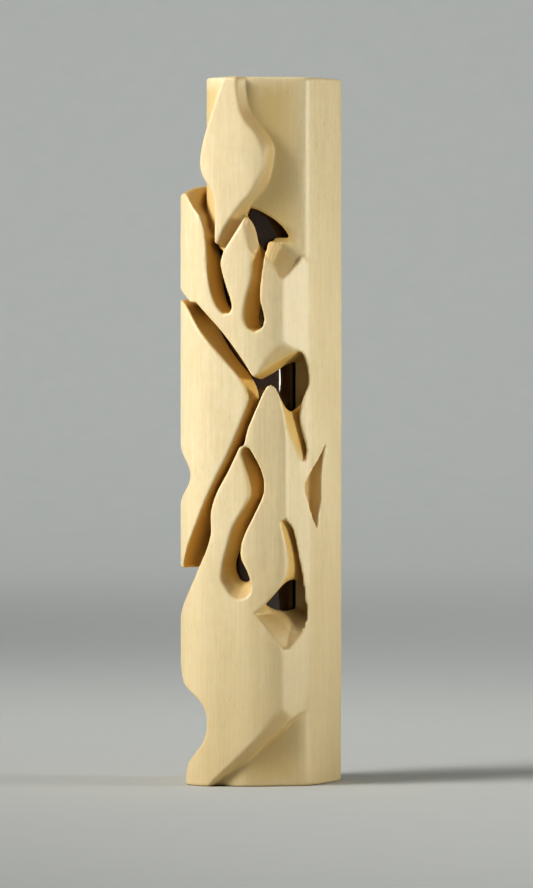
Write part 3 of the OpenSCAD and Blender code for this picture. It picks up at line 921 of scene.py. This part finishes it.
# ---------------------------------------------------------------- Scroll tie
# Two-ply linen thread wound ten times round the wrap, its ends tucked under the last turn.
tie_middle, tie_low, tie_high, tie_r = place_of("scroll_tie")
TIE_TURNS, PLY_R, PLY_SPREAD, THREAD_INSET, TWISTS = 10, 0.068, 0.052, 0.125, 14
thread_r = tie_r - THREAD_INSET
climb = (tie_high - tie_low - 2 * THREAD_INSET) / TIE_TURNS
tie_rows, tie_faces = [], []
tie_steps, sides = 64 * TIE_TURNS, 6
for ply in (0, 1):
    for step in range(tie_steps + 1):
        turn = 2 * math.pi * TIE_TURNS * step / tie_steps
        twist = TWISTS * turn + math.pi * ply
        r = thread_r + PLY_SPREAD * math.cos(twist)
        z = tie_low + THREAD_INSET + climb * turn / (2 * math.pi) + PLY_SPREAD * math.sin(twist)
        for side in range(sides):
            roll_angle = 2 * math.pi * side / sides
            rr = r + PLY_R * math.cos(roll_angle)
            tie_rows.append(on_turn(tie_middle, rr, turn, z + PLY_R * math.sin(roll_angle)))
    start = ply * (tie_steps + 1) * sides
    for step in range(tie_steps):
        for side in range(sides):
            a = start + step * sides + side
            b = start + step * sides + (side + 1) % sides
            tie_faces.append((a, b, b + sides, a + sides))
    last = start + tie_steps * sides
    tie_faces.append(tuple(range(start, start + sides)))
    tie_faces.append(tuple(range(last, last + sides)))
tie = welded(mesh_object("linen_thread", tie_rows, tie_faces))
linen = Finish("linen_thread")
flax = linen.noise(linen.place(), 3.0, detail=5.0, roughness=0.7)
tie.data.materials.append(
    linen.done(
        Base_Color=linen.mix(linen.band(flax, 0.35, 0.65), (0.30, 0.21, 0.11, 1), (0.52, 0.40, 0.24, 1)),
        Roughness=linen.band(flax, 0.3, 0.7, 0.75, 0.9),
        Normal=linen.bump(flax, 0.00005, 0.7),
    )
)
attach(tie, "scroll")
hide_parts("scroll_tie")


# ---------------------------------------------------------------- Top plug
# The same hardwood turned to a short head and spigot, its top showing end grain. It closes the tube.
SPIGOT_R, HEAD_H = 4.95, 4.3
plug_middle, plug_low, plug_high, plug_r = place_of("top_plug")
shoulder = plug_high - HEAD_H
plug = turned(
    "wood_plug",
    [
        (0, plug_low),
        (SPIGOT_R, plug_low),
        (SPIGOT_R, shoulder),
        (plug_r, shoulder),
        (plug_r, plug_high - 0.5),
        (plug_r - 0.6, plug_high),
        (1.0, plug_high),
        (0, plug_high - 0.35),
    ],
    plug_middle,
    0.16,
)
end_wood = Finish("plug_boxwood")
where = end_wood.place(shift=(16, 11, 0))
waver = end_wood.noise(end_wood.place((1, 1, 0.05)), 0.5, detail=3.0)
rings = end_wood.node(
    "ShaderNodeTexWave",
    {"wave_type": "RINGS", "rings_direction": "Z"},
    {"Vector": where, "Scale": 0.22, "Distortion": 1.5, "Detail": 3.0, "Detail Scale": 0.5},
    output=1,
)
rays = end_wood.noise(end_wood.place((1, 1, 0.04)), 5.0, detail=4.0, roughness=0.6)
tone = end_wood.band(rings * 0.25 + waver * 0.4 + rays * 0.35, 0.2, 0.8)
plug.data.materials.append(
    end_wood.done(
        Base_Color=end_wood.mix(tone, (0.62, 0.47, 0.24, 1), (0.78, 0.65, 0.41, 1)),
        Roughness=end_wood.band(rays, 0.3, 0.7, 0.38, 0.54),
        Normal=end_wood.bump(rings * 0.2 + rays * 0.8, 0.00004, 0.4),
    )
)
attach(plug, "plug")
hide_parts("top_plug")


# ---------------------------------------------------------------- Plug sleeve
# A sleeve of cork glued round the spigot, sanded until it grips inside the tube's lip.
cork_middle, cork_low, cork_high, cork_r = place_of("plug_sleeve")


def sanded(r, z, turn):
    """Cork's face is never quite even: shallow pits and a slight waver."""
    if r < SPIGOT_R + 0.3:
        return r, z
    pits = max(0.0, math.sin(7 * turn + 2 * z) * math.sin(3 * turn - 3.1 * z) - 0.6)
    return r - 0.1 * pits, z


cork_levels = [cork_low + (cork_high - cork_low) * k / 12 for k in range(13)]
cork_outline = [(cork_r, z) for z in cork_levels] + [(SPIGOT_R, z) for z in cork_levels[::-1]]
cork = turned("cork_sleeve", cork_outline, cork_middle, 0.12, around=128, uneven=sanded)
bark = Finish("cork")
cells = bark.node("ShaderNodeTexVoronoi", {}, {"Vector": bark.place(), "Scale": 1.6, "Randomness": 1.0})
grain = bark.noise(bark.place((1, 1, 0.5)), 1.6, detail=5.0, roughness=0.7)
pits = bark.band(bark.noise(bark.place((1, 1, 0.4)), 1.1, detail=2.0), 0.60, 0.68)
crumb = bark.band(cells * 0.5 + grain * 0.5, 0.25, 0.6)
speckled = bark.mix(crumb, (0.40, 0.23, 0.10, 1), (0.62, 0.42, 0.22, 1))
cork.data.materials.append(
    bark.done(
        Base_Color=bark.mix(pits * 0.75, speckled, (0.13, 0.06, 0.025, 1)),
        Roughness=bark.band(grain, 0.3, 0.7, 0.78, 0.92),
        Normal=bark.bump(cells * 0.4 + grain * 0.4 - pits, 0.0002, 0.7),
    )
)
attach(cork, "plug")
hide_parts("plug_sleeve")


# ---------------------------------------------------------------- Hanger plates
# Two plates of sheet brass, stamped with a keyhole and two countersunk holes, let in flush with the back.
KEY_R, KEY_SLOT, KEY_TRAVEL, SCREW_PITCH, SCREW_R, SCREW_HEAD_R = 3.0, 3.0, 4.5, 11.2, 0.8, 1.5
PLATE_VOXEL, PLATE_EASE, SINK_GAP = 0.1, 0.15, 0.07


def brass(name, lay):
    """Brass, a little tarnished, with painted shade below its face in the slots and sinks: lay stretches the
    scratches the way it was worked.
    """
    metal = Finish(name)
    scratches = metal.noise(metal.place(lay), 9.0, detail=3.0, roughness=0.7)
    bloom = metal.noise(metal.place(), 0.5, detail=4.0, roughness=0.6)
    tarnish = metal.band(bloom, 0.48, 0.66)
    colour = metal.mix(metal.band(scratches, 0.3, 0.7), (0.70, 0.48, 0.20, 1), (0.84, 0.63, 0.31, 1))
    back = metal.node("ShaderNodeSeparateXYZ", {}, {"Vector": metal.place()}, output=1)
    # Painted shade: darker below the face, in the screw slots, the sinks and the keyhole.
    painted_sink_shade = metal.band(back, BACK - 0.26, BACK - 0.07, 1, 0)
    colour = metal.mix(tarnish * 0.55, colour, (0.40, 0.24, 0.09, 1))
    return metal.done(
        Base_Color=metal.mix(painted_sink_shade * 0.85, colour, (0.09, 0.05, 0.02, 1)),
        Metallic=1.0,
        Roughness=metal.band(scratches * 0.6 + tarnish * 0.4, 0.2, 0.8, 0.24, 0.50),
        Normal=metal.bump(scratches, 0.00001, 0.4),
    )


plate_metal = brass("rolled_brass", (0.03, 1, 1))
for plate_name in PLATES:
    plate_low, plate_high, middle, half = plate_place(plate_name)
    edge = 3 * PLATE_VOXEL
    cells = [np.arange(a - edge, b + edge + PLATE_VOXEL, PLATE_VOXEL) for a, b in zip(plate_low, plate_high)]
    gx, gy, gz = np.meshgrid(*(line - m for line, m in zip(cells, middle)), indexing="ij")
    sides = [np.abs(g) - h + PLATE_EASE for g, h in zip((gx, gy, gz), half)]
    sheet_shape = np.sqrt(sum(np.maximum(side, 0) ** 2 for side in sides))
    sheet_shape = sheet_shape + np.minimum(np.maximum.reduce(sides), 0) - PLATE_EASE
    round_hole = np.hypot(gx, gz + KEY_TRAVEL / 2) - KEY_R
    slot_hole = np.hypot(gx, np.maximum(np.abs(gz) - KEY_TRAVEL / 2, 0)) - KEY_SLOT / 2
    sheet_shape = both(sheet_shape, -np.minimum(round_hole, slot_hole), 0.15)
    for side in (-1, 1):
        away = np.hypot(gx - side * SCREW_PITCH / 2, gz)
        sink = (away - SCREW_HEAD_R - SINK_GAP + np.clip(half[1] - gy, 0, SCREW_HEAD_R - SCREW_R)) * 0.75
        sheet_shape = both(sheet_shape, -sink, 0.06)
    corner = [line[0] for line in cells]
    plate = mesh_of_field(plate_name + "_brass", sheet_shape, corner, PLATE_VOXEL, 16000)
    plate.data.materials.append(plate_metal)
    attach(plate, "case")
    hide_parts(plate_name)


# ---------------------------------------------------------------- Hanger screws
# Four small brass wood screws with countersunk slotted heads, turned and then threaded, two through each
# plate and into the wood.
SCREW_L, SLOT_HALF, SLOT_DEEP = 5.0, 0.2, 0.38
THREAD_PITCH, THREAD_DEPTH, THREAD_START, POINT_START = 0.62, 0.16, 1.2, 4.2
ROUND = 48
head_rows = [(SCREW_HEAD_R * k / 12, 0.0) for k in range(1, 12)]
head_rows += [(SCREW_HEAD_R - 0.03, 0.0), (SCREW_HEAD_R, 0.05)]
shank_rows = [(SCREW_R, SCREW_HEAD_R - SCREW_R)] + [(SCREW_R, 0.8 + 0.05 * k) for k in range(68)]
point_rows = [(SCREW_R * (1 - k / 8), POINT_START + 0.1 * k) for k in range(8)]
blank_rows, blank_faces = [(0, -SLOT_DEEP, 0)], []
for r, y in head_rows + shank_rows + point_rows:
    for step in range(ROUND):
        turn = 2 * math.pi * step / ROUND
        radius, down = r, y
        if y < 0.01:
            down += SLOT_DEEP * min(1.0, max(0.0, (SLOT_HALF - abs(r * math.sin(turn))) / 0.04))
        if y > THREAD_START:
            wound = abs(((y / THREAD_PITCH - turn / (2 * math.pi)) % 1) - 0.5) * 2
            started = min(1.0, (y - THREAD_START) / 0.4)
            radius = r * (1 - THREAD_DEPTH / SCREW_R * started * (1 - wound**2))
        blank_rows.append((radius * math.cos(turn), -down, radius * math.sin(turn)))
blank_rows.append((0, -SCREW_L, 0))
rings_count = len(head_rows + shank_rows + point_rows)
for step in range(ROUND):
    after = (step + 1) % ROUND
    blank_faces.append((0, 1 + step, 1 + after))
    for row in range(rings_count - 1):
        a = 1 + row * ROUND
        blank_faces.append((a + step, a + ROUND + step, a + ROUND + after, a + after))
    tip = 1 + (rings_count - 1) * ROUND
    blank_faces.append((tip + step, len(blank_rows) - 1, tip + after))
blank_rows = [(x * MM, y * MM, z * MM) for x, y, z in blank_rows]
screw_blank = welded(mesh_object("screw_blank", blank_rows, blank_faces))

heads = []
for plate_name in PLATES:
    _, plate_high, middle, _ = plate_place(plate_name)
    heads += [(middle[0] + side * SCREW_PITCH / 2, plate_high[1], middle[2]) for side in (-1, 1)]
screws = mesh_object("brass_screws", [(x * MM, y * MM, z * MM) for x, y, z in heads], [])
drive = bpy.data.node_groups.new("drive_screws", "GeometryNodeTree")
drive.interface.new_socket("Places", in_out="INPUT", socket_type="NodeSocketGeometry")
for label, kind in (("Screw", "Object"), ("Turn", "Float"), ("Metal", "Material")):
    drive.interface.new_socket(label, in_out="INPUT", socket_type="NodeSocket" + kind)
drive.interface.new_socket("Screws", in_out="OUTPUT", socket_type="NodeSocketGeometry")
given, made, one_screw, spread, turns_random, spin, real, coat = (
    drive.nodes.new(kind)
    for kind in (
        "NodeGroupInput",
        "NodeGroupOutput",
        "GeometryNodeObjectInfo",
        "GeometryNodeInstanceOnPoints",
        "FunctionNodeRandomValue",
        "ShaderNodeCombineXYZ",
        "GeometryNodeRealizeInstances",
        "GeometryNodeSetMaterial",
    )
)
turns_random.data_type = "FLOAT"
turns_random.inputs["Seed"].default_value = 7
most_turn = [s for s in turns_random.inputs if s.type == "VALUE" and s.name == "Max"][0]
drive.links.new(given.outputs["Places"], spread.inputs["Points"])
drive.links.new(given.outputs["Screw"], one_screw.inputs["Object"])
drive.links.new(one_screw.outputs["Geometry"], spread.inputs["Instance"])
drive.links.new(given.outputs["Turn"], most_turn)
drive.links.new([o for o in turns_random.outputs if o.type == "VALUE"][0], spin.inputs["Y"])
drive.links.new(spin.outputs["Vector"], spread.inputs["Rotation"])
drive.links.new(spread.outputs["Instances"], real.inputs["Geometry"])
drive.links.new(real.outputs["Geometry"], coat.inputs["Geometry"])
drive.links.new(given.outputs["Metal"], coat.inputs["Material"])
drive.links.new(coat.outputs["Geometry"], made.inputs["Screws"])
driving = screws.modifiers.new("drive_screws", "NODES")
driving.node_group = drive
settings = {"Screw": screw_blank, "Turn": math.pi, "Metal": brass("turned_brass", (1, 0.2, 1))}
for item in drive.interface.items_tree:
    if item.in_out == "INPUT" and item.name in settings:
        driving[item.identifier] = settings[item.name]
shaped = bpy.data.meshes.new_from_object(screws.evaluated_get(bpy.context.evaluated_depsgraph_get()))
screws.modifiers.clear()
screws.data = shaped
shaped.materials.clear()
shaped.materials.append(settings["Metal"])
shaped.polygons.foreach_set("material_index", [0] * len(shaped.polygons))
bpy.data.objects.remove(screw_blank)
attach(screws, "case")
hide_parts("hanger_screws")
